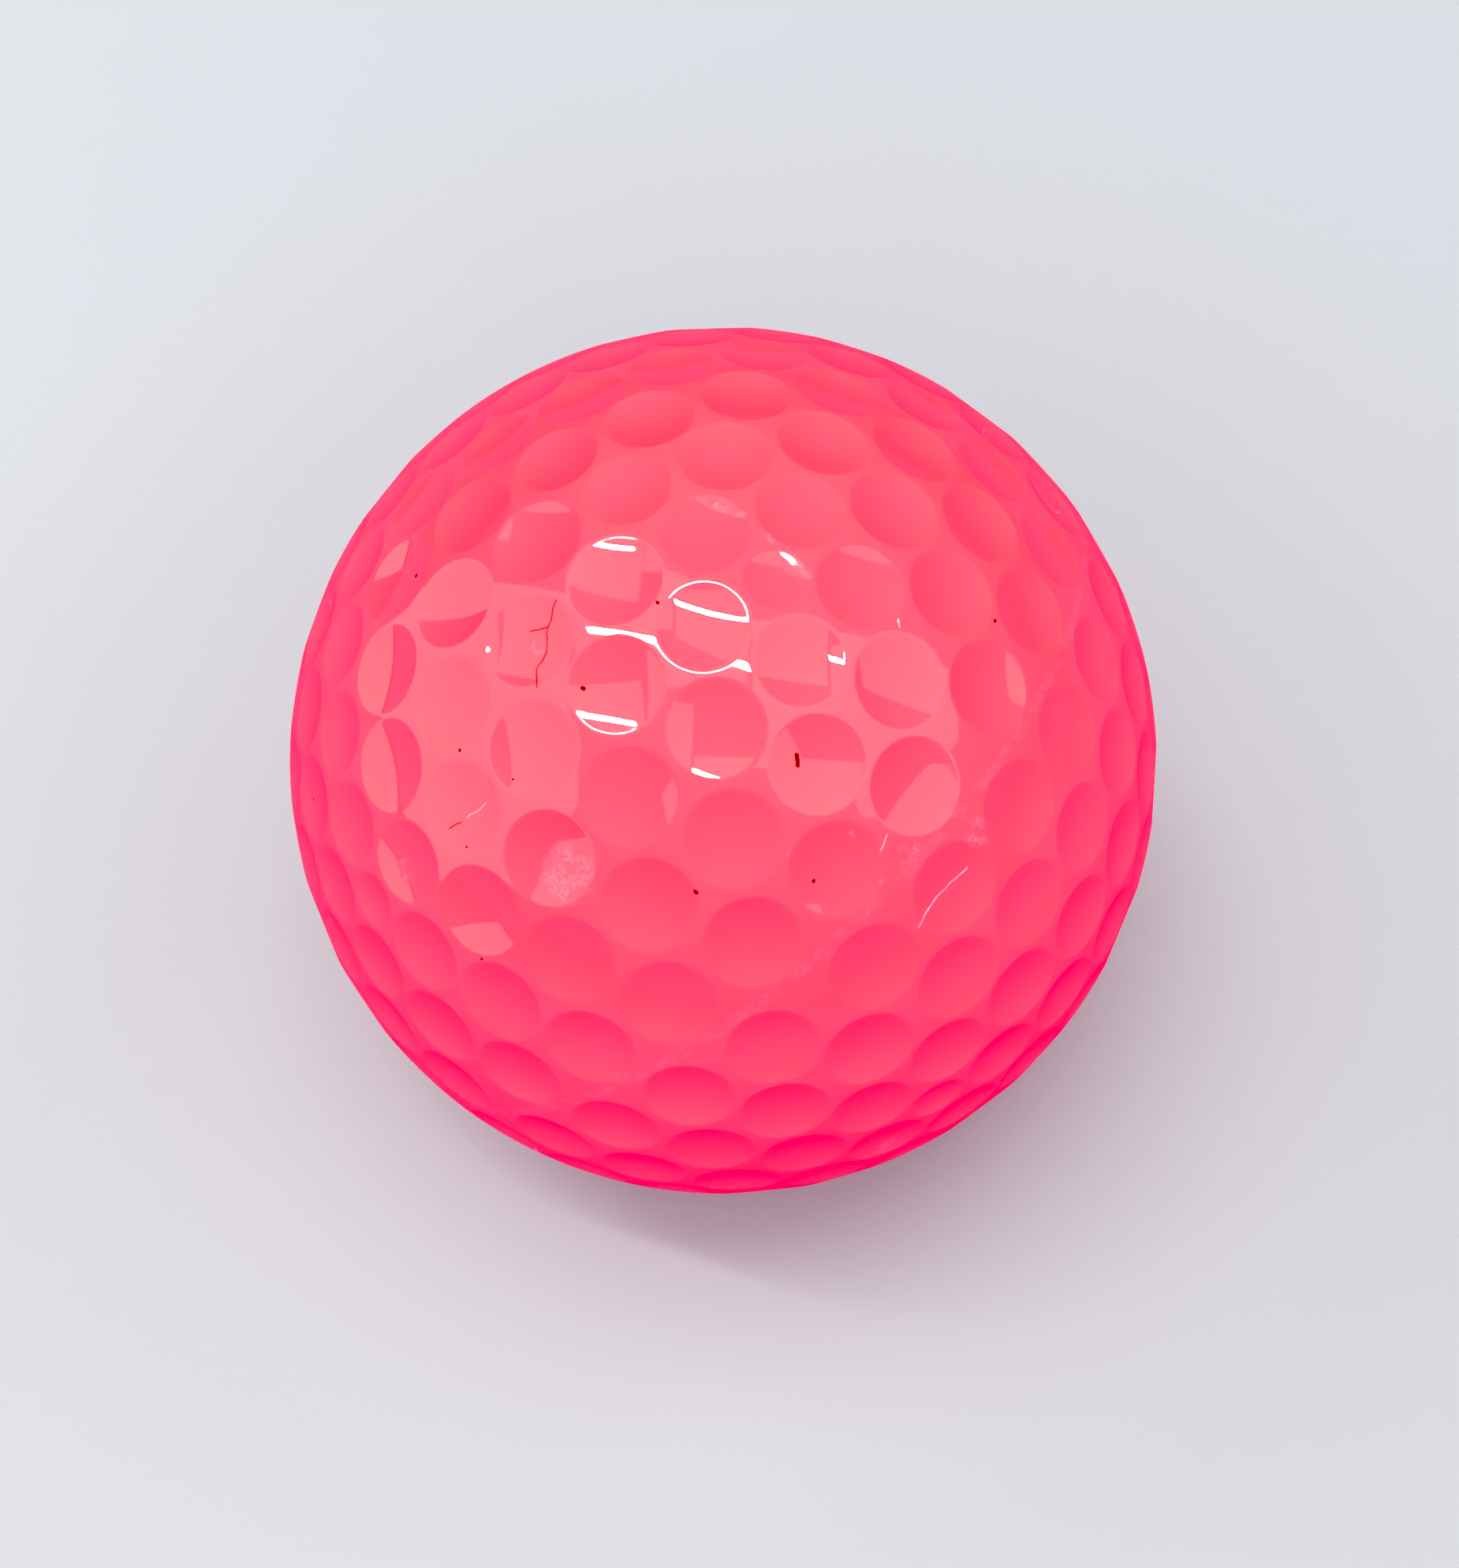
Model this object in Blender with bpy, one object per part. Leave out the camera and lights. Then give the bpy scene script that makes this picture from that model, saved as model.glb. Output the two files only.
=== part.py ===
"""Golf ball: a rubber core inside a mantle and a dimpled cover, each shell moulded as two cups.

The cover carries 392 dimples. Both cover cups come from the same mould: one is turned over and
twisted against the other, and a plain band without dimples runs along the joint between them.
Lengths are metres and angles are degrees. The centre of the ball is the origin.
"""
import math

import bmesh
import bpy
import numpy as np
from mathutils import Matrix, Vector

# Radii of the layers.
BALL_RADIUS = 0.021335
COVER_INNER_RADIUS = 0.01985
MANTLE_OUTER_RADIUS = 0.01955
MANTLE_INNER_RADIUS = 0.01845
CORE_RADIUS = 0.01815
JOINT_GAP = 0.0003

# How the ball lies: its pole leans away from straight up towards a compass heading.
POLE_TILT = 51.55
POLE_HEADING = 144.85
POLE_SPIN = -2.3

# Dimple sizes, as angles seen from the centre of the ball, and bowl depth per degree of radius.
SMALL_DIMPLE = 3.35
MEDIUM_DIMPLE = 4.8
LARGE_DIMPLE = 5.1
DEPTH_PER_DEGREE = 0.00005
FLOOR_RING = 0.55
FLOOR_DEPTH = 0.85
RIM_SIDES = 8

# Dimple layout of one cup.
SECTORS = 5
SECTOR_ANGLE = 360.0 / SECTORS
CAP_ROWS = 6
FIRST_STEP = 8.5
EDGE_STEP = 10.7
CORNER_FROM_POLE = 59.3
BELT_COUNT = 30
BELTS = ((24.4, 0.5), (14.9, 0.0), (5.75, 0.5))
WANTED_LAND = 1.3
JOINT_LAND = 0.65
SETTLING_ROUNDS = 300
SETTLING_RATE = 0.25
LOWER_CUP_TWIST = -30.0

# Mesh resolution of the plain surfaces.
RING_SEGMENTS = 36
DOME_ROWS = 6
CORE_SUBDIVISIONS = 4

COVER_PINK = (1.0, 0.098, 0.185)
MANTLE_WHITE = (0.86, 0.85, 0.80)
CORE_TEAL = (0.05, 0.24, 0.30)


def clear_scene():
    for item in list(bpy.data.objects):
        bpy.data.objects.remove(item, do_unlink=True)


def make_collection(name):
    collection = bpy.data.collections.new(name)
    bpy.context.scene.collection.children.link(collection)
    return collection


def make_material(name, color, roughness):
    material = bpy.data.materials.new(name)
    material.use_nodes = True
    shader = material.node_tree.nodes["Principled BSDF"]
    shader.inputs["Base Color"].default_value = (*color, 1.0)
    shader.inputs["Roughness"].default_value = roughness
    shader.inputs["Metallic"].default_value = 0.0
    material.diffuse_color = (*color, 1.0)
    return material


def on_sphere(latitude, longitude):
    """Unit vector at a latitude and longitude in degrees."""
    up = math.radians(latitude)
    around = math.radians(longitude)
    return np.array([math.cos(up) * math.cos(around), math.cos(up) * math.sin(around), math.sin(up)])


def along_arc(start, end, share):
    """The point a given share of the way along the great circle from start to end."""
    angle = math.acos(float(start @ end))
    return (math.sin((1.0 - share) * angle) * start + math.sin(share * angle) * end) / math.sin(angle)


def cap_dimples():
    """The pole dimple and the rows of the five-sided cap around it, as (direction, radius) pairs."""
    dimples = [(on_sphere(90.0, 0.0), SMALL_DIMPLE)]
    half_sector = SECTOR_ANGLE / 2.0
    for row in range(1, CAP_ROWS + 1):
        corner_row = row == CAP_ROWS
        from_pole = CORNER_FROM_POLE if corner_row else FIRST_STEP + EDGE_STEP * (row - 1)
        for sector in range(SECTORS):
            start = on_sphere(90.0 - from_pole, SECTOR_ANGLE * sector - half_sector)
            end = on_sphere(90.0 - from_pole, SECTOR_ANGLE * sector + half_sector)
            for step in range(row):
                radius = LARGE_DIMPLE
                if step == 0 or (corner_row and step in (1, row - 1)):
                    radius = MEDIUM_DIMPLE
                if step == 0 and corner_row:
                    radius = SMALL_DIMPLE
                dimples.append((along_arc(start, end, step / row), radius))
    return dimples


def belt_dimples():
    """The three rows of evenly spaced dimples between the cap and the joint."""
    spacing = 360.0 / BELT_COUNT
    per_sector = BELT_COUNT // SECTORS
    dimples = []
    for belt, (latitude, shift) in enumerate(BELTS):
        for place in range(BELT_COUNT):
            beside_corner = belt == 0 and place % per_sector in (per_sector // 2 - 1, per_sector // 2)
            radius = MEDIUM_DIMPLE if beside_corner else LARGE_DIMPLE
            dimples.append((on_sphere(latitude, spacing * (place + shift)), radius))
    return dimples


def settle(directions, radii):
    """Push crowded dimples apart until the lands between them are even."""
    wanted = np.radians(radii[:, None] + radii[None, :] + WANTED_LAND)
    lowest = np.sin(np.radians(radii + JOINT_LAND))
    for _ in range(SETTLING_ROUNDS):
        apart = np.arccos(np.clip(directions @ directions.T, -1.0, 1.0))
        np.fill_diagonal(apart, math.pi)
        push = np.maximum(wanted - apart, 0.0)
        away = directions[:, None, :] - directions[None, :, :]
        away /= np.linalg.norm(away, axis=2)[:, :, None] + 1e-12
        directions = directions + SETTLING_RATE * (away * push[:, :, None]).sum(axis=1)
        directions /= np.linalg.norm(directions, axis=1)[:, None]
        directions[:, 2] = np.maximum(directions[:, 2], lowest)
        directions /= np.linalg.norm(directions, axis=1)[:, None]
    return directions


def cup_dimples():
    """Every dimple of one cup, pole up, as (direction, radius) pairs."""
    dimples = cap_dimples() + belt_dimples()
    directions = np.array([direction for direction, _ in dimples])
    radii = np.array([radius for _, radius in dimples])
    return list(zip(settle(directions, radii), radii))


def circle_around(direction, angle, distance):
    """RIM_SIDES points at an angle from a direction, all at one distance from the centre."""
    axis = Vector(direction).normalized()
    side = axis.orthogonal().normalized()
    other = axis.cross(side)
    spread = math.radians(angle)
    points = []
    for step in range(RIM_SIDES):
        turn = 2.0 * math.pi * step / RIM_SIDES
        outward = side * math.cos(turn) + other * math.sin(turn)
        points.append((axis * math.cos(spread) + outward * math.sin(spread)) * distance)
    return points


def add_skin(mesh, rims, ring):
    """Stretch the lands over the dimple rims and the joint ring, leaving the dimples open."""
    owner = {}
    for number, rim in enumerate(rims):
        owner.update({vertex: number for vertex in rim})
    owner.update({vertex: len(rims) for vertex in ring})
    bmesh.ops.convex_hull(mesh, input=list(mesh.verts), use_existing_faces=False)
    covers = [face for face in mesh.faces if len({owner[vertex] for vertex in face.verts}) == 1]
    bmesh.ops.delete(mesh, geom=covers, context="FACES_ONLY")
    loose = [edge for edge in mesh.edges if not edge.link_faces]
    bmesh.ops.delete(mesh, geom=loose, context="EDGES")


def add_bowl(mesh, rim, direction, radius):
    """Sink one dimple inside its rim: sloping sides down to a flat floor."""
    depth = DEPTH_PER_DEGREE * radius * FLOOR_DEPTH
    floor_points = circle_around(direction, radius * FLOOR_RING, BALL_RADIUS - depth)
    floor = [mesh.verts.new(point) for point in floor_points]
    for step in range(RIM_SIDES):
        following = (step + 1) % RIM_SIDES
        mesh.faces.new((rim[step], rim[following], floor[following], floor[step]))
    mesh.faces.new(floor)


def ring_of_vertices(mesh, reach, height):
    ring = []
    for step in range(RING_SEGMENTS):
        turn = 2.0 * math.pi * step / RING_SEGMENTS
        ring.append(mesh.verts.new((reach * math.cos(turn), reach * math.sin(turn), height)))
    return ring


def ring_at_joint(mesh, radius):
    """A ring of vertices on the joint face, half the gap above the centre plane."""
    height = JOINT_GAP / 2.0
    return ring_of_vertices(mesh, math.sqrt(radius ** 2 - height ** 2), height)


def add_plain_dome(mesh, radius, ring):
    """A smooth dome standing on a joint ring and closing at the pole."""
    lower = ring
    for row in range(1, DOME_ROWS):
        rise = math.radians(90.0 * row / DOME_ROWS)
        upper = ring_of_vertices(mesh, radius * math.cos(rise), radius * math.sin(rise))
        join_rings(mesh, lower, upper)
        lower = upper
    pole = mesh.verts.new((0.0, 0.0, radius))
    for step in range(RING_SEGMENTS):
        mesh.faces.new((lower[step], lower[(step + 1) % RING_SEGMENTS], pole))


def join_rings(mesh, first, second):
    count = len(first)
    for step in range(count):
        following = (step + 1) % count
        mesh.faces.new((first[step], first[following], second[following], second[step]))


def place_mesh(mesh, name, collection, material, pose):
    """Close up the mesh, set it in its pose and link it as a named object."""
    bmesh.ops.recalc_face_normals(mesh, faces=list(mesh.faces))
    bmesh.ops.transform(mesh, matrix=pose, verts=list(mesh.verts))
    data = bpy.data.meshes.new(name)
    mesh.to_mesh(data)
    mesh.free()
    data.materials.append(material)
    item = bpy.data.objects.new(name, data)
    collection.objects.link(item)
    return item


def cover_cup(name, dimples, collection, material, pose):
    mesh = bmesh.new()
    rims = []
    for direction, radius in dimples:
        rims.append([mesh.verts.new(point) for point in circle_around(direction, radius, BALL_RADIUS)])
    outer_ring = ring_at_joint(mesh, BALL_RADIUS)
    add_skin(mesh, rims, outer_ring)
    for rim, (direction, radius) in zip(rims, dimples):
        add_bowl(mesh, rim, direction, radius)
    inner_ring = ring_at_joint(mesh, COVER_INNER_RADIUS)
    join_rings(mesh, outer_ring, inner_ring)
    add_plain_dome(mesh, COVER_INNER_RADIUS, inner_ring)
    return place_mesh(mesh, name, collection, material, pose)


def mantle_cup(name, collection, material, pose):
    mesh = bmesh.new()
    outer_ring = ring_at_joint(mesh, MANTLE_OUTER_RADIUS)
    inner_ring = ring_at_joint(mesh, MANTLE_INNER_RADIUS)
    add_plain_dome(mesh, MANTLE_OUTER_RADIUS, outer_ring)
    add_plain_dome(mesh, MANTLE_INNER_RADIUS, inner_ring)
    join_rings(mesh, outer_ring, inner_ring)
    return place_mesh(mesh, name, collection, material, pose)


def solid_core(name, collection, material):
    mesh = bmesh.new()
    bmesh.ops.create_icosphere(mesh, subdivisions=CORE_SUBDIVISIONS, radius=CORE_RADIUS)
    return place_mesh(mesh, name, collection, material, Matrix.Identity(4))


def ball_pose():
    """Rotation that lays the ball down with its pole tilted and turned."""
    heading = Matrix.Rotation(math.radians(POLE_HEADING), 4, "Z")
    tilt = Matrix.Rotation(math.radians(POLE_TILT), 4, "Y")
    spin = Matrix.Rotation(math.radians(POLE_SPIN), 4, "Z")
    return heading @ tilt @ spin


def build():
    clear_scene()
    collection = make_collection("golf_ball")
    upper = ball_pose()
    turned_over = Matrix.Rotation(math.pi, 4, "X")
    lower = upper @ Matrix.Rotation(math.radians(LOWER_CUP_TWIST), 4, "Z") @ turned_over
    dimples = cup_dimples()
    for side, pose in (("upper", upper), ("lower", lower)):
        pink = make_material("cover_" + side, COVER_PINK, 0.12)
        cover_cup("cover_" + side, dimples, collection, pink, pose)
        white = make_material("mantle_" + side, MANTLE_WHITE, 0.45)
        mantle_cup("mantle_" + side, collection, white, pose)
    solid_core("core", collection, make_material("core", CORE_TEAL, 0.7))


build()
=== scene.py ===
"""Looks for the golf ball: a glossy neon pink cover with 392 dimples, over its mantle and core.

The cover is two cups from one mould, meeting at a plain band. Lengths are metres and angles are
degrees. The centre of the ball is the origin, and the dimples lie where the CAD covers have them.
"""

import math

import bmesh
import bpy
import numpy as np
from mathutils import Matrix, Vector


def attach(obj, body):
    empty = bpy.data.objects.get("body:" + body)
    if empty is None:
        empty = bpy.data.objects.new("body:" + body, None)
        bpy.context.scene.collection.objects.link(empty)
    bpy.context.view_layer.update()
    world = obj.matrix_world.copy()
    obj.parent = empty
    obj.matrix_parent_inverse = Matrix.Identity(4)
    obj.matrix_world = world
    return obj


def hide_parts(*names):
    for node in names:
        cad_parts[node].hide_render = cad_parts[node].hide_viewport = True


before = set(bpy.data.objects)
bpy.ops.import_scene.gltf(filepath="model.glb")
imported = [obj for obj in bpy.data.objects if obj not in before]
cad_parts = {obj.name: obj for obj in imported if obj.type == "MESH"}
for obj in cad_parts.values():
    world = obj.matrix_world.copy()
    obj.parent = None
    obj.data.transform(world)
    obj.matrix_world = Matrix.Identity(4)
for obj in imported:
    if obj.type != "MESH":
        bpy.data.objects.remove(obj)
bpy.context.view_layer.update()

# Radii of the layers.
BALL_RADIUS = 0.021335
COVER_INNER_RADIUS = 0.01985

# How the ball lies: its pole leans away from straight up towards a compass heading.
POLE_TILT = 51.55
POLE_HEADING = 144.85
POLE_SPIN = -2.3
LOWER_CUP_TWIST = -30.0

# Dimple sizes and the width of a rim's rounding, as angles seen from the centre of the ball, and how
# deep a bowl is per degree of its radius.
SMALL_DIMPLE = 3.35
MEDIUM_DIMPLE = 4.8
LARGE_DIMPLE = 5.1
DEPTH_PER_DEGREE = 0.00005
RIM_ROUNDING = 0.25

# Dimple layout of one cup.
SECTORS = 5
SECTOR_ANGLE = 360.0 / SECTORS
CAP_ROWS = 6
FIRST_STEP = 8.5
EDGE_STEP = 10.7
CORNER_FROM_POLE = 59.3
BELT_COUNT = 30
BELTS = ((24.4, 0.5), (14.9, 0.0), (5.75, 0.5))
WANTED_LAND = 1.3
JOINT_LAND = 0.65
SETTLING_ROUNDS = 300
SETTLING_RATE = 0.25

# Light and shade under the gloss follow the dimples as if they sloped this many times as much.
SHADE_SLOPE = 1.5

# Mesh resolution.
RIM_SEGMENTS = 40
BOWL_RINGS = 7
ROUNDING_RINGS = 4
JOINT_SEGMENTS = 240
DOME_ROWS = 8

# Camera: how far it is from the centre of the ball, and the direction it looks from.
CAMERA_DISTANCE = 0.07619
CAMERA_HEADING = -90.0
CAMERA_ELEVATION = 65.0
CAMERA_LENS = 34.11
CAMERA_SHIFT = (0.0040, -0.0151)
NEAREST_SEEN = 0.005

# Camera contrast: the black level holds back green and blue, the weaker channels of the vivid pink,
# so that they drop fast in the shade.
EXPOSURE = 1.0
GAMMA = 0.8
BLACK_LEVEL = (0.0, 0.12, 0.10)

# Studio: heights above the centre of the ball, and how bright each side of the light tent is.
CEILING = 1.0
WALL_BASE = 0.3
TENT_TOP = 0.95
TENT = (2.75, 1.55, 1.55, 2.95, 2.85, 2.5, 2.5, 2.75)
FLOOR_RADIUS = 0.9
FLOOR_SEGMENTS = 128
WARM_WHITE = (1.0, 0.95, 0.74)
WHITE = (1.0, 1.0, 1.0)

# The room around the studio: its colour, how much it lights, and how bright the camera sees it.
ROOM = (0.84, 0.985, 1.0, 1.0)
ROOM_LIGHT = 0.04
ROOM_SEEN = 0.49

# Colours of the cover, its painted glow and its marks. The glow is painted light that stands in for the
# fluorescent dye and keeps the pink lit even in shade.
BRIGHT_PINK = (1.0, 0.144, 0.120, 1.0)
DEEP_PINK = (1.0, 0.111, 0.106, 1.0)
SCUFFED_PINK = (1.0, 0.32, 0.34, 1.0)
SCRATCHED_PINK = (1.0, 0.38, 0.40, 1.0)
CRACK_RED = (0.40, 0.02, 0.03, 1.0)
DIRT = (0.06, 0.002, 0.006, 1.0)
PAINTED_GLOW = (1.0, 0.0, 0.5, 1.0)
PAINTED_GLOW_STRENGTH = 0.1

# How strongly painted shade deepens the pink in the bowls and random clouds deepen it, how strongly
# marks cover it, and how much of the painted glow a crack takes away.
PAINTED_BOWL_SHADE = 0.1
CLOUD_TINT = 0.5
SCUFF_COVER = 0.24
SCRATCH_COVER = 0.4
CRACK_COVER = 0.6
CRACK_DULLING = 0.7

# Colours of the core, of the mantle, and of the floor for each kind of ray that meets it.
CORE_DARK = (0.040, 0.200, 0.260, 1.0)
CORE_LIGHT = (0.060, 0.280, 0.340, 1.0)
CORE_CRUMBS = (0.25, 0.45, 0.48, 1.0)
MANTLE_DARK = (0.84, 0.83, 0.78, 1.0)
MANTLE_LIGHT = (0.90, 0.89, 0.85, 1.0)
FLOOR_SEEN_DARK = (0.198, 0.254, 0.260, 1.0)
FLOOR_SEEN_LIGHT = (0.208, 0.264, 0.270, 1.0)
FLOOR_THROWN = (0.07, 0.12, 0.42, 1.0)
FLOOR_MIRRORED = (0.04, 0.06, 0.13, 1.0)

# Gloss over the cover. It is weaker on scuffs, and where the surface is seen almost edge on.
COAT_ROUGHNESS = 0.015
COAT_IOR = 1.5
WORN_COAT = 0.75
EDGE_ON = (0.45, 0.95)
EDGE_ON_COAT = 0.35

# Depths of the relief in the gloss.
WAVE_DEPTH = 0.0000015
SCUFF_DEPTH = 0.000008
CUT_DEPTH = 0.00002

# Marks of play. Each place is a heading and an elevation seen from the centre of the ball. Specks and
# scuffs add a radius in millimetres, and widths are in millimetres too.
MILLIMETRE = 0.001
SPECKS = (
    (178.0, 53.5, 0.09), (-128.0, 79.0, 0.08), (-13.0, 59.0, 0.08), (-130.5, 67.5, 0.08),
    (-143.5, 53.5, 0.07), (-75.0, 51.5, 0.08), (-94.5, 51.5, 0.09), (-132.0, 55.5, 0.04),
    (-132.5, 46.0, 0.05), (-123.5, 35.5, 0.05),
)
CHIP_WIDTH = 0.15
CHIP = ((-72.5, 64.5), (-72.5, 64.0), (-73.0, 63.5))
CRACK_WIDTH = 0.06
CRACKS = (
    ((-157.0, 71.0), (-151.0, 68.5), (-146.0, 67.5), (-144.0, 65.5), (-140.0, 64.5)),
    ((-154.0, 67.0), (-152.0, 69.0)),
    ((-137.0, 46.0), (-136.0, 47.5)),
)
SCRATCH_WIDTH = 0.075
SCRATCHES = (
    ((-50.5, 45.0), (-58.0, 44.0), (-61.5, 42.5)),
    ((-135.5, 48.5), (-133.5, 51.5)),
    ((-61.0, 53.5), (-63.0, 52.5)),
    ((-27.5, 69.5), (-29.0, 69.0)),
)
SCUFFED_LINE_WIDTH = 0.30
SCUFFED_LINES = (
    ((119.0, 86.5), (35.5, 87.5)),
    ((-14.5, 85.0), (-32.0, 79.5)),
    ((3.5, 43.0), (6.0, 44.0)),
)
SCUFFS = (
    (-115.5, 50.0, 1.1), (-139.5, 37.5, 0.5), (-58.5, 50.5, 0.5), (-47.0, 48.0, 0.6),
    (-66.5, 55.0, 0.15), (-64.5, 49.0, 0.15), (-70.5, 48.5, 0.2), (-44.5, 46.5, 0.15),
    (-148.5, 67.0, 0.3), (-78.0, 55.0, 0.2),
)

# Where the masks of marks begin and where they are full, as shares of a radius or a width.
SPOT_EDGE = (1.25, 0.75)
LINE_EDGE = (0.7, 0.3)

# How far grain pulls the edges of marks about, in metres, and which of its values break up scuffs.
WANDER = 0.00025
FINE_GRAIN = (0.38, 0.58)
GRITTY_GRAIN = (0.36, 0.66)

# The joint between the cups is buffed this far to either side, in millimetres, and this much.
BUFFED_EDGE = (0.40, 0.10)
BUFFED = 0.45

# The front has its own marks, and the scattered ones start beyond it. Its edges are cosines of the
# angle from its middle, which is a heading and an elevation.
FRONT = (-90.0, 65.0)
FRONT_EDGE = (0.55, 0.45)

# The scattered marks come where procedural textures cross these values.
SIDE_SPECKS = (0.030, 0.022)
SIDE_SCUFFS = (0.70, 0.76)
SIDE_HAIRS = (0.0022, 0.0008)
HAIR_PATCHES = (0.56, 0.60)
HAIR_CONTOUR = 0.42


def on_sphere(latitude, longitude):
    """Unit vector at a latitude and longitude in degrees."""
    up = math.radians(latitude)
    around = math.radians(longitude)
    return np.array([math.cos(up) * math.cos(around), math.cos(up) * math.sin(around), math.sin(up)])


def along_arc(start, end, share):
    """The point a given share of the way along the great circle from start to end."""
    angle = math.acos(float(start @ end))
    return (math.sin((1.0 - share) * angle) * start + math.sin(share * angle) * end) / math.sin(angle)


def cap_dimples():
    """The pole dimple and the rows of the five-sided cap around it, as (direction, radius) pairs."""
    dimples = [(on_sphere(90.0, 0.0), SMALL_DIMPLE)]
    half_sector = SECTOR_ANGLE / 2.0
    for row in range(1, CAP_ROWS + 1):
        corner_row = row == CAP_ROWS
        from_pole = CORNER_FROM_POLE if corner_row else FIRST_STEP + EDGE_STEP * (row - 1)
        for sector in range(SECTORS):
            start = on_sphere(90.0 - from_pole, SECTOR_ANGLE * sector - half_sector)
            end = on_sphere(90.0 - from_pole, SECTOR_ANGLE * sector + half_sector)
            for step in range(row):
                radius = LARGE_DIMPLE
                if step == 0 or (corner_row and step in (1, row - 1)):
                    radius = MEDIUM_DIMPLE
                if step == 0 and corner_row:
                    radius = SMALL_DIMPLE
                dimples.append((along_arc(start, end, step / row), radius))
    return dimples


def belt_dimples():
    """The three rows of evenly spaced dimples between the cap and the joint."""
    spacing = 360.0 / BELT_COUNT
    per_sector = BELT_COUNT // SECTORS
    dimples = []
    for belt, (latitude, shift) in enumerate(BELTS):
        for place in range(BELT_COUNT):
            beside_corner = belt == 0 and place % per_sector in (per_sector // 2 - 1, per_sector // 2)
            radius = MEDIUM_DIMPLE if beside_corner else LARGE_DIMPLE
            dimples.append((on_sphere(latitude, spacing * (place + shift)), radius))
    return dimples


def settle(directions, radii):
    """Push crowded dimples apart until the lands between them are even."""
    wanted = np.radians(radii[:, None] + radii[None, :] + WANTED_LAND)
    lowest = np.sin(np.radians(radii + JOINT_LAND))
    for _ in range(SETTLING_ROUNDS):
        apart = np.arccos(np.clip(directions @ directions.T, -1.0, 1.0))
        np.fill_diagonal(apart, math.pi)
        push = np.maximum(wanted - apart, 0.0)
        away = directions[:, None, :] - directions[None, :, :]
        away /= np.linalg.norm(away, axis=2)[:, :, None] + 1e-12
        directions = directions + SETTLING_RATE * (away * push[:, :, None]).sum(axis=1)
        directions /= np.linalg.norm(directions, axis=1)[:, None]
        directions[:, 2] = np.maximum(directions[:, 2], lowest)
        directions /= np.linalg.norm(directions, axis=1)[:, None]
    return directions


def cup_dimples():
    """Every dimple of one cup, pole up, as arrays of directions and radii."""
    dimples = cap_dimples() + belt_dimples()
    directions = np.array([direction for direction, _ in dimples])
    radii = np.array([radius for _, radius in dimples])
    return settle(directions, radii), radii


def unit(vectors):
    """The rows of an array, each made one long."""
    return vectors / np.linalg.norm(vectors, axis=1)[:, None]


def bowl_profile(radius):
    """Rings of one dimple from its middle outwards: angle, depth below the ball, slope of the depth."""
    edge = 1.0 + RIM_ROUNDING / radius
    start = 1.0 / edge
    shares = [start * ring / BOWL_RINGS for ring in range(1, BOWL_RINGS + 1)]
    shares += [start + (edge - start) * ring / ROUNDING_RINGS for ring in range(1, ROUNDING_RINGS + 1)]
    deepest = DEPTH_PER_DEGREE * radius
    curl = (1.0 - start ** 2) / (edge - start) ** 2
    profile = []
    for share in shares:
        if share <= start:
            depth, slope = 1.0 - share ** 2, -2.0 * share
        else:
            depth, slope = curl * (edge - share) ** 2, -2.0 * curl * (edge - share)
        slope_there = deepest * slope / math.radians(radius)
        profile.append((math.radians(share * radius), deepest * depth, slope_there))
    return profile


def dimple_points(direction, radius):
    """Points, normals, shade normals and relative depths of a dimple, the middle first, then its rings."""
    axis = Vector(direction).normalized()
    side = axis.orthogonal().normalized()
    axis, side, other = (np.array(vector) for vector in (axis, side, axis.cross(side)))
    turns = 2.0 * math.pi * np.arange(RIM_SEGMENTS) / RIM_SEGMENTS
    outward = np.cos(turns)[:, None] * side + np.sin(turns)[:, None] * other
    deepest = DEPTH_PER_DEGREE * radius
    points = [axis * (BALL_RADIUS - deepest)]
    normals = [axis]
    shade_normals = [axis]
    depths = [1.0]
    for angle, depth, slope in bowl_profile(radius):
        radial = math.cos(angle) * axis + math.sin(angle) * outward
        along = -math.sin(angle) * axis + math.cos(angle) * outward
        distance = BALL_RADIUS - depth
        points.extend(radial * distance)
        normals.extend(unit(distance * radial + slope * along))
        shade_normals.extend(unit(distance * radial + SHADE_SLOPE * slope * along))
        depths.extend([depth / deepest] * RIM_SEGMENTS)
    return points, normals, shade_normals, depths


def dimple_faces(first):
    """Faces of one dimple whose middle is vertex number first."""
    rings = [first + 1 + RIM_SEGMENTS * ring for ring in range(BOWL_RINGS + ROUNDING_RINGS)]
    faces = []
    for step in range(RIM_SEGMENTS):
        following = (step + 1) % RIM_SEGMENTS
        faces.append((first, rings[0] + step, rings[0] + following))
        for inner, outer in zip(rings, rings[1:]):
            faces.append((inner + step, outer + step, outer + following, inner + following))
    return faces


def land_faces(points, owners):
    """Stretch the lands over the dimple rims and the joint ring, leaving the dimples open.

    points are the vertices that the lands hang on, and owners says which dimple or ring each is of.
    """
    mesh = bmesh.new()
    for point in points:
        mesh.verts.new(point)
    mesh.verts.index_update()
    bmesh.ops.convex_hull(mesh, input=list(mesh.verts), use_existing_faces=False)
    faces = []
    for face in mesh.faces:
        corners = [vertex.index for vertex in face.verts]
        if len({owners[corner] for corner in corners}) > 1:
            outward = face.normal.dot(face.calc_center_median()) > 0.0
            faces.append(corners if outward else corners[::-1])
    mesh.free()
    return faces


def ring_points(radius, height, count):
    """A level ring of points on a sphere, at a height above its centre."""
    turns = 2.0 * math.pi * np.arange(count) / count
    reach = math.sqrt(radius ** 2 - height ** 2)
    return np.column_stack((reach * np.cos(turns), reach * np.sin(turns), np.full(count, height)))


def band(first, second, count):
    """Quads between two rings of vertices that start at the given numbers."""
    quads = []
    for step in range(count):
        following = (step + 1) % count
        quads.append((first + step, first + following, second + following, second + step))
    return quads


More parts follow.
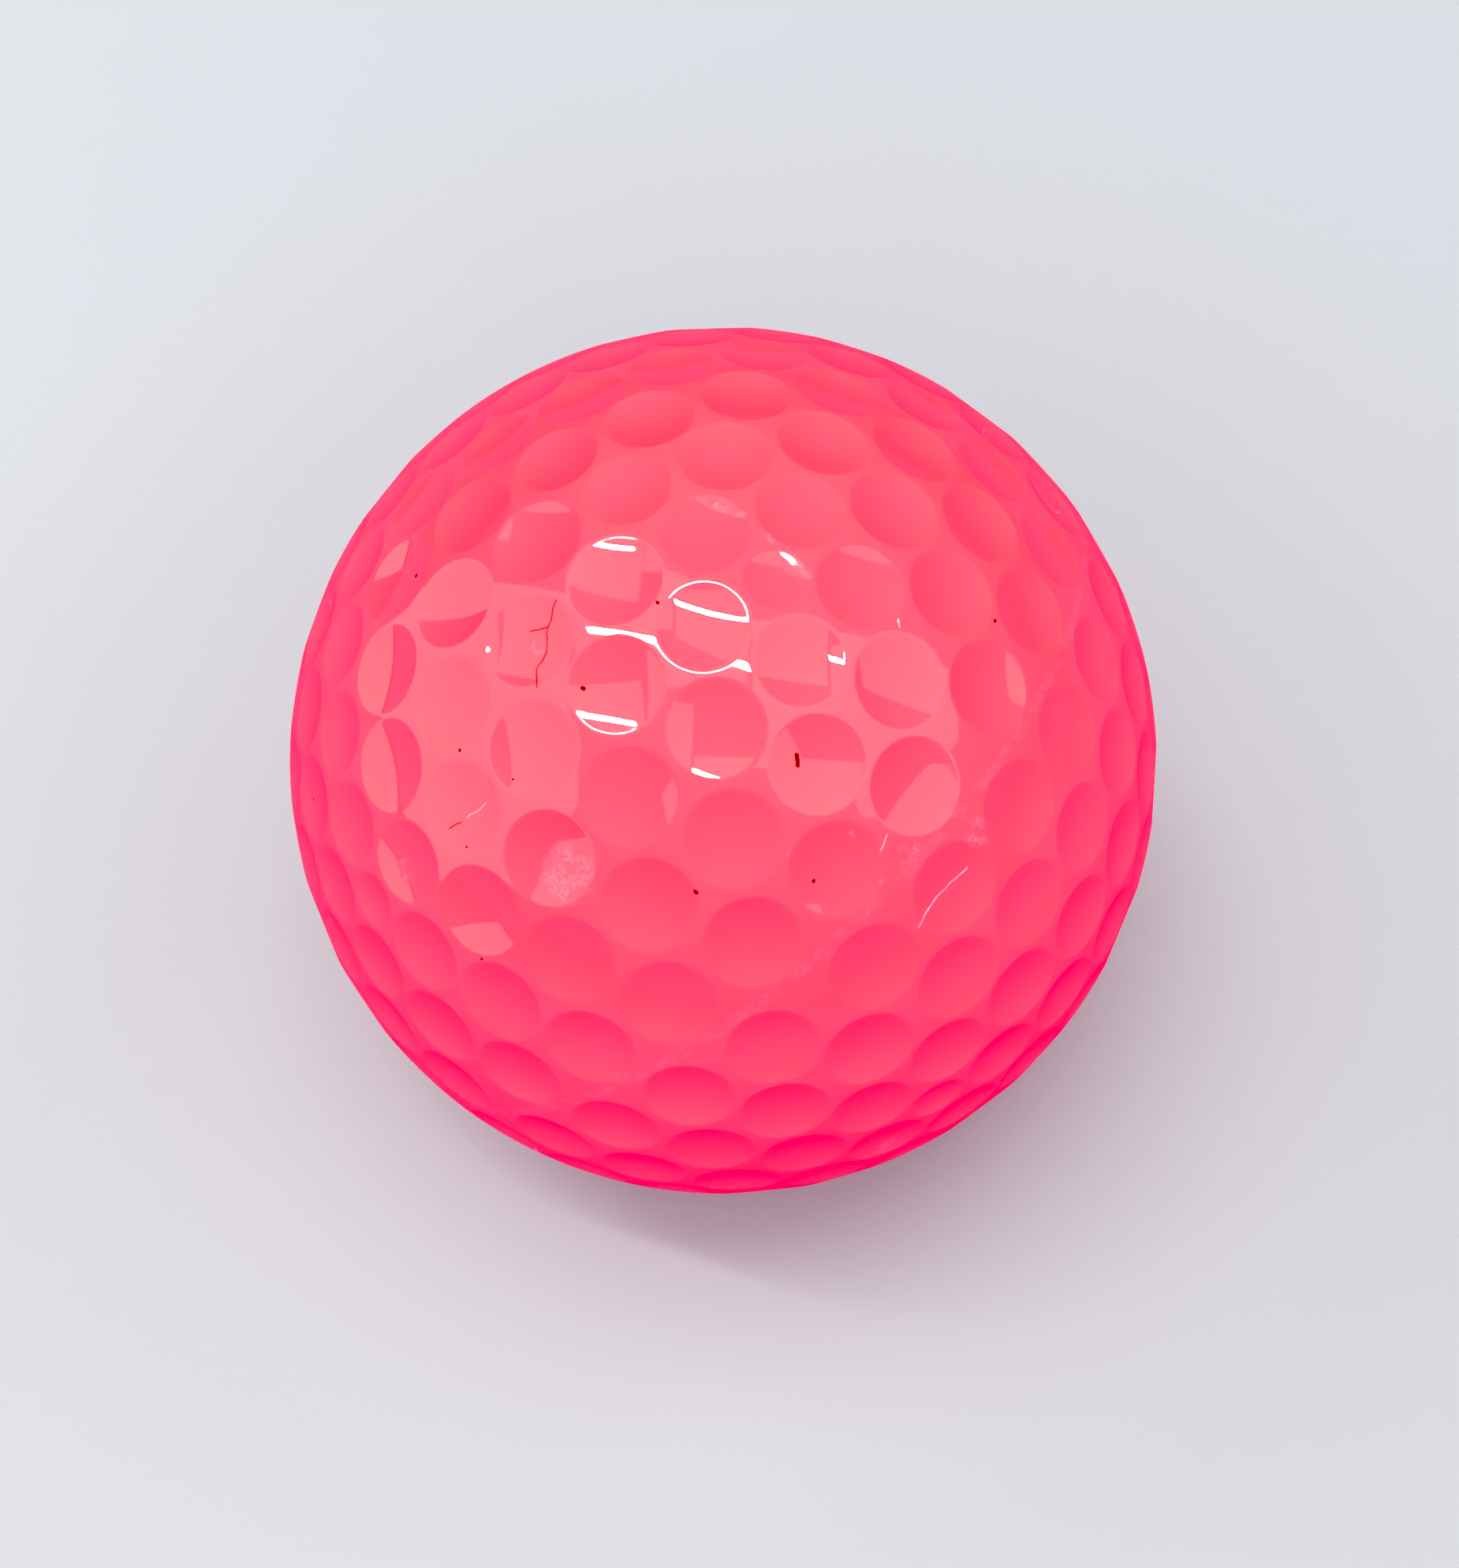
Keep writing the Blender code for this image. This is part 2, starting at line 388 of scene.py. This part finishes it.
def cup_parts():
    """One cover cup, pole up: points, faces, both normals of every face corner, and bowl depths."""
    points, faces, hung, owners = [], [], [], []
    normals, shade_normals, depths = [], [], []
    rim = 1 + RIM_SEGMENTS * (BOWL_RINGS + ROUNDING_RINGS - 1)
    for number, (direction, radius) in enumerate(zip(*cup_dimples())):
        first = len(points)
        more_points, more_normals, more_shade_normals, more_depths = dimple_points(direction, radius)
        points.extend(more_points)
        normals.extend(more_normals)
        shade_normals.extend(more_shade_normals)
        depths.extend(more_depths)
        faces.extend(dimple_faces(first))
        hung.extend(range(first + rim, first + rim + RIM_SEGMENTS))
        owners.extend([number] * RIM_SEGMENTS)
    joint = len(points)
    points.extend(ring_points(BALL_RADIUS, 0.0, JOINT_SEGMENTS))
    hung.extend(range(joint, joint + JOINT_SEGMENTS))
    owners.extend([-1] * JOINT_SEGMENTS)
    lands = land_faces([points[vertex] for vertex in hung], owners)
    faces.extend([[hung[corner] for corner in face] for face in lands])
    for kind in (normals, shade_normals):
        kind.extend(np.array(points[joint:]) / BALL_RADIUS)
    corners = [corner for face in faces for corner in face]
    inside = add_inside(points, faces, joint)
    corner_normals = np.array([normals[corner] for corner in corners] + inside)
    corner_shade_normals = np.array([shade_normals[corner] for corner in corners] + inside)
    depths.extend([0.0] * (len(points) - len(depths)))
    return np.array(points), faces, corner_normals, corner_shade_normals, depths


def add_inside(points, faces, joint):
    """Add the flat joint face and the plain hollow, and return the normals of their face corners."""
    rows = []
    for row in range(DOME_ROWS):
        rise = math.radians(90.0 * row / DOME_ROWS)
        height = COVER_INNER_RADIUS * math.sin(rise)
        rows.append(len(points))
        points.extend(ring_points(COVER_INNER_RADIUS, height, JOINT_SEGMENTS))
    top = len(points)
    points.append(np.array([0.0, 0.0, COVER_INNER_RADIUS]))
    joint_face = band(rows[0], joint, JOINT_SEGMENTS)
    hollow = []
    for lower, upper in zip(rows, rows[1:]):
        hollow.extend(band(upper, lower, JOINT_SEGMENTS))
    for step in range(JOINT_SEGMENTS):
        hollow.append((top, rows[-1] + (step + 1) % JOINT_SEGMENTS, rows[-1] + step))
    faces.extend(joint_face + hollow)
    flat = [np.array([0.0, 0.0, -1.0])] * (4 * len(joint_face))
    return flat + [-points[corner] / COVER_INNER_RADIUS for face in hollow for corner in face]


def ball_pose():
    """Rotation that lays the ball down with its pole tilted and turned."""
    heading = Matrix.Rotation(math.radians(POLE_HEADING), 3, "Z")
    tilt = Matrix.Rotation(math.radians(POLE_TILT), 3, "Y")
    spin = Matrix.Rotation(math.radians(POLE_SPIN), 3, "Z")
    return heading @ tilt @ spin


def make_cup(name, parts, pose, material):
    """A named piece made of one cup turned into its pose."""
    points, faces, corner_normals, corner_shade_normals, depths = parts
    turn = np.array(pose)
    data = bpy.data.meshes.new(name)
    data.from_pydata((points @ turn.T).tolist(), [], faces)
    data.polygons.foreach_set("use_smooth", [True] * len(data.polygons))
    data.normals_split_custom_set((corner_normals @ turn.T).tolist())
    shade = data.attributes.new("shade_normal", "FLOAT_VECTOR", "CORNER")
    shade.data.foreach_set("vector", (corner_shade_normals @ turn.T).ravel())
    bowl = data.attributes.new("bowl_depth", "FLOAT", "POINT")
    bowl.data.foreach_set("value", depths)
    data.materials.append(material)
    data.update()
    item = bpy.data.objects.new(name, data)
    bpy.context.scene.collection.objects.link(item)
    return item


class Shading:
    """A material under construction, with short ways to add shader nodes."""

    def __init__(self, name):
        self.material = bpy.data.materials.new(name)
        self.material.use_nodes = True
        self.tree = self.material.node_tree
        self.shader = self.tree.nodes["Principled BSDF"]

    def node(self, kind, inputs=(), **settings):
        """Add a node. inputs are (socket, value) pairs, where a value may be another node's output."""
        node = self.tree.nodes.new(kind)
        for name, value in settings.items():
            setattr(node, name, value)
        for socket, value in inputs:
            if isinstance(value, bpy.types.NodeSocket):
                self.tree.links.new(value, node.inputs[socket])
            else:
                node.inputs[socket].default_value = value
        return node

    def feed(self, socket, value):
        """Connect an output to the surface shader, or set a plain value there."""
        if isinstance(value, bpy.types.NodeSocket):
            self.tree.links.new(value, self.shader.inputs[socket])
        else:
            self.shader.inputs[socket].default_value = value

    def place(self):
        """The surface point, in metres from the centre of the ball."""
        return self.node("ShaderNodeTexCoord").outputs["Object"]

    def attribute(self, name, output="Fac"):
        """What the mesh stores under a name."""
        return self.node("ShaderNodeAttribute", attribute_name=name).outputs[output]

    def facing(self, direction):
        """A direction on the object as a world direction of length one, to shade with."""
        inputs = ((0, self.vector("NORMALIZE", direction).outputs["Vector"]),)
        settings = {"vector_type": "NORMAL", "convert_from": "OBJECT", "convert_to": "WORLD"}
        return self.node("ShaderNodeVectorTransform", inputs, **settings).outputs[0]

    def math(self, operation, first, second=0.0, third=0.0):
        """The result of a sum on plain values."""
        inputs = ((0, first), (1, second), (2, third))
        return self.node("ShaderNodeMath", inputs, operation=operation).outputs[0]

    def most(self, masks):
        """The largest of several masks at each point."""
        total = masks[0]
        for mask in masks[1:]:
            total = self.math("MAXIMUM", total, mask)
        return total

    def vector(self, operation, first, second=(0.0, 0.0, 0.0)):
        """The node of a sum on vectors."""
        return self.node("ShaderNodeVectorMath", ((0, first), (1, second)), operation=operation)

    def scaled(self, vector, factor):
        """A vector made longer or shorter by a factor."""
        inputs = ((0, vector), ("Scale", factor))
        return self.node("ShaderNodeVectorMath", inputs, operation="SCALE").outputs["Vector"]

    def noise(self, place, scale, detail=2.0, roughness=0.5):
        """Cloudy values around one half, with scale features to a metre."""
        inputs = (("Vector", place), ("Scale", scale), ("Detail", detail), ("Roughness", roughness))
        return self.node("ShaderNodeTexNoise", inputs).outputs["Fac"]

    def fade(self, value, start, end, low=0.0, high=1.0):
        """Smoothly from low, where value is start, to high, where it is end."""
        ends = (("From Min", start), ("From Max", end), ("To Min", low), ("To Max", high))
        inputs = (("Value", value), *ends)
        return self.node("ShaderNodeMapRange", inputs, interpolation_type="SMOOTHSTEP").outputs["Result"]

    def clamped(self, value):
        """The value kept between zero and one."""
        return self.node("ShaderNodeClamp", (("Value", value),)).outputs["Result"]

    def mix(self, share, first, second):
        """A colour the given share of the way from the first to the second."""
        inputs = (("Factor", share), (6, first), (7, second))
        return self.node("ShaderNodeMix", inputs, data_type="RGBA").outputs[2]

    def bump(self, height, distance=1.0):
        """The normal of a relief, where a height of one stands for the distance in metres."""
        return self.node("ShaderNodeBump", (("Height", height), ("Distance", distance))).outputs["Normal"]


def spot(heading, elevation):
    """The place on the ball at a heading and an elevation, in metres."""
    return BALL_RADIUS * on_sphere(elevation, heading)


def side_marks(look, place):
    """Masks of specks, scuffs and hair scratches scattered over the ball away from the front."""
    front = look.vector("DOT_PRODUCT", place, tuple(on_sphere(FRONT[1], FRONT[0]) / BALL_RADIUS))
    away = look.fade(front.outputs["Value"], *FRONT_EDGE)
    grains = look.node("ShaderNodeTexVoronoi", (("Vector", place), ("Scale", 250.0))).outputs["Distance"]
    specks = look.math("MULTIPLY", away, look.fade(grains, *SIDE_SPECKS))
    broad = look.noise(place, scale=260.0, detail=1.0)
    scuffs = look.math("MULTIPLY", away, look.fade(broad, *SIDE_SCUFFS))
    sweep = look.noise(place, scale=190.0, detail=1.0, roughness=0.3)
    hair = look.fade(look.math("ABSOLUTE", look.math("SUBTRACT", sweep, HAIR_CONTOUR)), *SIDE_HAIRS)
    scratches = look.math("MULTIPLY", look.math("MULTIPLY", away, hair), look.fade(broad, *HAIR_PATCHES))
    return specks, scuffs, scratches


def near_spot(look, place, centre, radius):
    """A soft round mask, with its radius in millimetres."""
    apart = look.vector("DISTANCE", place, tuple(centre)).outputs["Value"]
    return look.fade(apart, *(edge * radius * MILLIMETRE for edge in SPOT_EDGE))


def near_line(look, place, line, width):
    """A mask along a line through places on the ball, with its width in millimetres."""
    masks = []
    corners = [spot(*corner) for corner in line]
    for start, end in zip(corners, corners[1:]):
        span = end - start
        offset = look.vector("SUBTRACT", place, tuple(start)).outputs["Vector"]
        along = look.vector("DOT_PRODUCT", offset, tuple(span / (span @ span))).outputs["Value"]
        share = look.clamped(along)
        apart = look.vector("DISTANCE", offset, look.scaled(tuple(span), share)).outputs["Value"]
        masks.append(look.fade(apart, *(edge * width * MILLIMETRE for edge in LINE_EDGE)))
    return look.most(masks)


def cover_material():
    """Neon pink under a clear gloss, with specks, scuffs, scratches and fine cracks from play, painted
    shade in the bowls and a painted glow.
    """
    look = Shading("cover_neon_pink")
    place = look.place()
    fine = look.node("ShaderNodeTexNoise", (("Vector", place), ("Scale", 1600.0), ("Detail", 1.0)))
    wander = look.vector("SUBTRACT", fine.outputs["Color"], (0.5, 0.5, 0.5)).outputs["Vector"]
    loose = look.vector("ADD", place, look.scaled(wander, WANDER)).outputs["Vector"]
    side_specks, side_scuffs, side_scratches = side_marks(look, loose)

    loose = look.scaled(look.vector("NORMALIZE", loose).outputs["Vector"], BALL_RADIUS)
    specks = [near_spot(look, loose, spot(*middle), radius) for *middle, radius in SPECKS]
    dirt = look.most([*specks, near_line(look, loose, CHIP, CHIP_WIDTH), side_specks])
    cracks = look.most([near_line(look, loose, line, CRACK_WIDTH) for line in CRACKS])
    scratches = [near_line(look, loose, line, SCRATCH_WIDTH) for line in SCRATCHES]
    scratched = look.most([*scratches, side_scratches])
    scuffs = [near_spot(look, loose, spot(*middle), radius) for *middle, radius in SCUFFS]
    scuffs += [near_line(look, loose, line, SCUFFED_LINE_WIDTH) for line in SCUFFED_LINES]
    pole = ball_pose() @ Vector((0.0, 0.0, 1.0))
    from_joint = look.math("ABSOLUTE", look.vector("DOT_PRODUCT", place, tuple(pole)).outputs["Value"])
    buffed = look.fade(from_joint, *(edge * MILLIMETRE for edge in BUFFED_EDGE), high=BUFFED)
    rubbed = look.most([*scuffs, side_scuffs, buffed])
    grit = look.noise(place, scale=7000.0, detail=3.0, roughness=0.7)
    patches = look.fade(fine.outputs["Fac"], *FINE_GRAIN)
    patchy = look.math("MULTIPLY", patches, look.fade(grit, *GRITTY_GRAIN))
    scuffed = look.math("MULTIPLY", rubbed, patchy)

    bowl = look.attribute("bowl_depth")
    clouds = look.noise(place, scale=90.0, detail=3.0)
    # Painted shade: the pink deepens towards the bottom of each bowl, mixed with random clouds of deeper
    # pink.
    bowl_shade_and_clouds = look.math("MULTIPLY_ADD", bowl, PAINTED_BOWL_SHADE, look.math("MULTIPLY", clouds, CLOUD_TINT))
    color = look.mix(bowl_shade_and_clouds, BRIGHT_PINK, DEEP_PINK)
    color = look.mix(look.math("MULTIPLY", scuffed, SCUFF_COVER), color, SCUFFED_PINK)
    color = look.mix(look.math("MULTIPLY", scratched, SCRATCH_COVER), color, SCRATCHED_PINK)
    color = look.mix(look.math("MULTIPLY", cracks, CRACK_COVER), color, CRACK_RED)
    color = look.mix(dirt, color, DIRT)
    look.feed("Base Color", color)
    look.feed("Roughness", look.fade(clouds, 0.3, 0.7, low=0.30, high=0.38))
    look.feed("Specular IOR Level", 0.0)

    edge_on = look.node("ShaderNodeLayerWeight", (("Blend", 0.5),)).outputs["Facing"]
    gloss = look.fade(edge_on, *EDGE_ON, low=1.0, high=EDGE_ON_COAT)
    worn = look.fade(scuffed, 0.0, 1.0, low=1.0, high=WORN_COAT)
    look.feed("Coat Weight", look.math("MULTIPLY", gloss, worn))
    look.feed("Coat Roughness", COAT_ROUGHNESS)
    look.feed("Coat IOR", COAT_IOR)

    dull = look.math("MAXIMUM", dirt, look.math("MULTIPLY", cracks, CRACK_DULLING))
    # Painted glow: painted light standing in for the fluorescent dye, lit even in shade; specks and cracks
    # take it away.
    look.feed("Emission Color", PAINTED_GLOW)
    look.feed("Emission Strength", look.fade(dull, 0.0, 1.0, low=PAINTED_GLOW_STRENGTH, high=0.0))

    waves = look.math("MULTIPLY", look.noise(place, scale=700.0, detail=0.0), WAVE_DEPTH)
    rough = look.math("MULTIPLY_ADD", look.math("MULTIPLY", rubbed, grit), SCUFF_DEPTH, waves)
    cuts = look.math("ADD", cracks, scratched)
    look.feed("Coat Normal", look.bump(look.math("MULTIPLY_ADD", cuts, -CUT_DEPTH, rough)))
    look.feed("Normal", look.facing(look.attribute("shade_normal", "Vector")))
    return look.material


def core_material():
    """Moulded rubber: dull teal with crumbs of regrind in it."""
    look = Shading("core_rubber")
    place = look.place()
    crumbs = look.node("ShaderNodeTexVoronoi", (("Vector", place), ("Scale", 900.0))).outputs["Distance"]
    clouds = look.noise(place, scale=160.0, detail=4.0)
    color = look.mix(clouds, CORE_DARK, CORE_LIGHT)
    color = look.mix(look.fade(crumbs, 0.25, 0.10), color, CORE_CRUMBS)
    look.feed("Base Color", color)
    look.feed("Roughness", look.fade(clouds, 0.3, 0.7, low=0.62, high=0.80))
    look.feed("Normal", look.bump(crumbs, distance=0.00002))
    return look.material


def mantle_material():
    """Milky white ionomer with faint flow marks and a satin skin."""
    look = Shading("mantle_ionomer")
    place = look.place()
    flow = look.noise(place, scale=70.0, detail=5.0, roughness=0.6)
    color = look.mix(flow, MANTLE_DARK, MANTLE_LIGHT)
    look.feed("Base Color", color)
    look.feed("Roughness", look.fade(flow, 0.3, 0.7, low=0.34, high=0.50))
    look.feed("Subsurface Weight", 0.15)
    look.feed("Subsurface Radius", (0.0010, 0.0009, 0.0008))
    look.feed("Normal", look.bump(look.noise(place, scale=1500.0), distance=0.000004))
    return look.material


def dress_inside():
    """Give the core and the mantle cups, which the cover hides, their own materials."""
    inside = {"core": core_material()}
    inside["mantle_upper"] = inside["mantle_lower"] = mantle_material()
    for name, material in inside.items():
        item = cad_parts[name]
        item.data.materials.clear()
        item.data.materials.append(material)


def floor_material():
    """A floor that looks pale, but throws only a dim violet-blue light up at the ball."""
    look = Shading("studio_floor")
    grain = look.noise(look.place(), scale=12.0, detail=4.0)
    pale = look.mix(grain, FLOOR_SEEN_DARK, FLOOR_SEEN_LIGHT)
    rays = look.node("ShaderNodeLightPath").outputs
    thrown = look.mix(rays["Is Glossy Ray"], FLOOR_THROWN, FLOOR_MIRRORED)
    look.feed("Base Color", look.mix(rays["Is Camera Ray"], thrown, pale))
    look.feed("Roughness", 0.8)
    return look.material


def make_floor():
    """A wide, round, plain floor that the ball rests on."""
    mesh = bmesh.new()
    bmesh.ops.create_circle(mesh, cap_ends=True, segments=FLOOR_SEGMENTS, radius=FLOOR_RADIUS)
    data = bpy.data.meshes.new("floor")
    mesh.to_mesh(data)
    mesh.free()
    data.materials.append(floor_material())
    item = bpy.data.objects.new("floor", data)
    item.location = (0.0, 0.0, -BALL_RADIUS)
    bpy.context.scene.collection.objects.link(item)


def glow_material(name, brightness, color):
    """A material that only glows, evenly."""
    material = bpy.data.materials.new(name)
    material.use_nodes = True
    tree = material.node_tree
    tree.nodes.remove(tree.nodes["Principled BSDF"])
    glow = tree.nodes.new("ShaderNodeEmission")
    glow.inputs["Color"].default_value = (*color, 1.0)
    glow.inputs["Strength"].default_value = brightness
    tree.links.new(glow.outputs[0], tree.nodes["Material Output"].inputs["Surface"])
    return material


def panel(name, corners, brightness, color=WARM_WHITE, shines=True, lights=True):
    """A flat glowing studio panel with any outline, which the camera doesn't see.

    One that shines is seen in the gloss, and one that lights falls on plain surfaces.
    """
    data = bpy.data.meshes.new(name)
    data.from_pydata(corners, [], [range(len(corners))])
    data.materials.append(glow_material(name, brightness, color))
    item = bpy.data.objects.new(name, data)
    item.visible_camera = False
    item.visible_shadow = False
    item.visible_glossy = shines
    item.visible_diffuse = lights
    bpy.context.scene.collection.objects.link(item)


def make_world():
    """A room that the camera sees as pale and bright, though it lights the ball only faintly."""
    world = bpy.context.scene.world or bpy.data.worlds.new("studio")
    bpy.context.scene.world = world
    world.use_nodes = True
    tree = world.node_tree
    background = tree.nodes["Background"]
    background.inputs["Color"].default_value = ROOM
    seen = tree.nodes.new("ShaderNodeLightPath").outputs["Is Camera Ray"]
    strength = tree.nodes.new("ShaderNodeMapRange")
    strength.inputs["To Min"].default_value = ROOM_LIGHT
    strength.inputs["To Max"].default_value = ROOM_SEEN
    tree.links.new(seen, strength.inputs["Value"])
    tree.links.new(strength.outputs[0], background.inputs["Strength"])


def overhead(corners):
    """Corners on the ceiling from their places across and along the room."""
    return [(across, along, CEILING) for across, along in corners]


def wall(start, end, top):
    """Corners of an upright panel between two places across and along the room."""
    return [(*start, WALL_BASE), (*end, WALL_BASE), (*end, top), (*start, top)]


def make_tent():
    """Eight upright panels that light the ball from all sides, each with its own brightness."""
    turns = [2.0 * math.pi * side / len(TENT) for side in range(len(TENT) + 1)]
    places = [(math.cos(turn), math.sin(turn)) for turn in turns]
    for side, brightness in enumerate(TENT):
        corners = wall(places[side], places[side + 1], TENT_TOP)
        panel(f"tent_{side + 1}", corners, brightness, WHITE, shines=False)


def make_lights():
    """A window, a ceiling and a bright strip that the gloss mirrors, and fills that light the pink."""
    make_world()
    window = [
        (-0.9, 0.50, 1.30), (-0.9, -0.78, 1.10), (-0.9, -0.85, 0.45), (-0.9, -0.50, 0.0),
        (-0.9, 0.50, 0.0),
    ]
    panel("left_window", window, brightness=1.0, lights=False)
    panel("left_fill", window, brightness=0.5, color=WHITE, shines=False)
    right = [
        (0.12, 0.15), (1.44, 0.16), (1.70, -0.30), (1.12, -0.91), (0.85, -0.85), (0.60, -0.54),
        (0.12, -0.50),
    ]
    panel("ceiling_right", overhead(right), brightness=0.95, lights=False)
    middle = [(0.10, 0.20), (0.10, -0.14), (-0.68, -0.12), (-0.70, 0.70)]
    panel("ceiling_middle", overhead(middle), brightness=0.9, lights=False)
    key = [(0.35, 0.40), (0.35, -0.45), (-0.50, -0.45), (-0.50, 0.40)]
    panel("key", overhead(key), brightness=2.9, color=WHITE, shines=False)
    front = wall((-0.6, -1.0), (0.6, -1.0), CEILING)
    panel("front_fill", front, brightness=1.1, color=WHITE, shines=False)
    right_side = wall((1.0, -0.6), (1.0, 0.6), CEILING)
    panel("right_fill", right_side, brightness=0.75, color=WHITE, shines=False)
    make_tent()
    strip = [(-0.62, 0.20), (-0.60, 0.165), (0.11, -0.07), (0.10, -0.035)]
    panel("ceiling_strip", overhead(strip), brightness=500.0, color=WHITE, lights=False)


def set_tones():
    """The contrast of a camera that meets a colour too vivid for it."""
    view = bpy.context.scene.view_settings
    view.view_transform = "Standard"
    view.exposure = EXPOSURE
    view.gamma = GAMMA
    view.use_curve_mapping = True
    view.curve_mapping.black_level = BLACK_LEVEL
    view.curve_mapping.update()


def make_camera():
    """The photo's camera, close by and looking steeply down at the ball."""
    data = bpy.data.cameras.new("camera")
    data.lens = CAMERA_LENS
    data.shift_x, data.shift_y = CAMERA_SHIFT
    data.clip_start = NEAREST_SEEN
    camera = bpy.data.objects.new("camera", data)
    direction = Vector(on_sphere(CAMERA_ELEVATION, CAMERA_HEADING))
    camera.location = direction * CAMERA_DISTANCE
    camera.rotation_euler = direction.to_track_quat("Z", "Y").to_euler()
    bpy.context.scene.collection.objects.link(camera)
    bpy.context.scene.camera = camera


def make_cover():
    """The two cover cups, each in place of its CAD cup."""
    parts = cup_parts()
    pink = cover_material()
    upper = ball_pose()
    turned_over = Matrix.Rotation(math.pi, 3, "X")
    lower = upper @ Matrix.Rotation(math.radians(LOWER_CUP_TWIST), 3, "Z") @ turned_over
    for side, pose in (("upper", upper), ("lower", lower)):
        piece = make_cup(side + "_cover_cup", parts, pose, pink)
        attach(piece, "root")
        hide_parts("cover_" + side)


set_tones()
make_camera()
make_lights()
make_floor()
make_cover()
dress_inside()
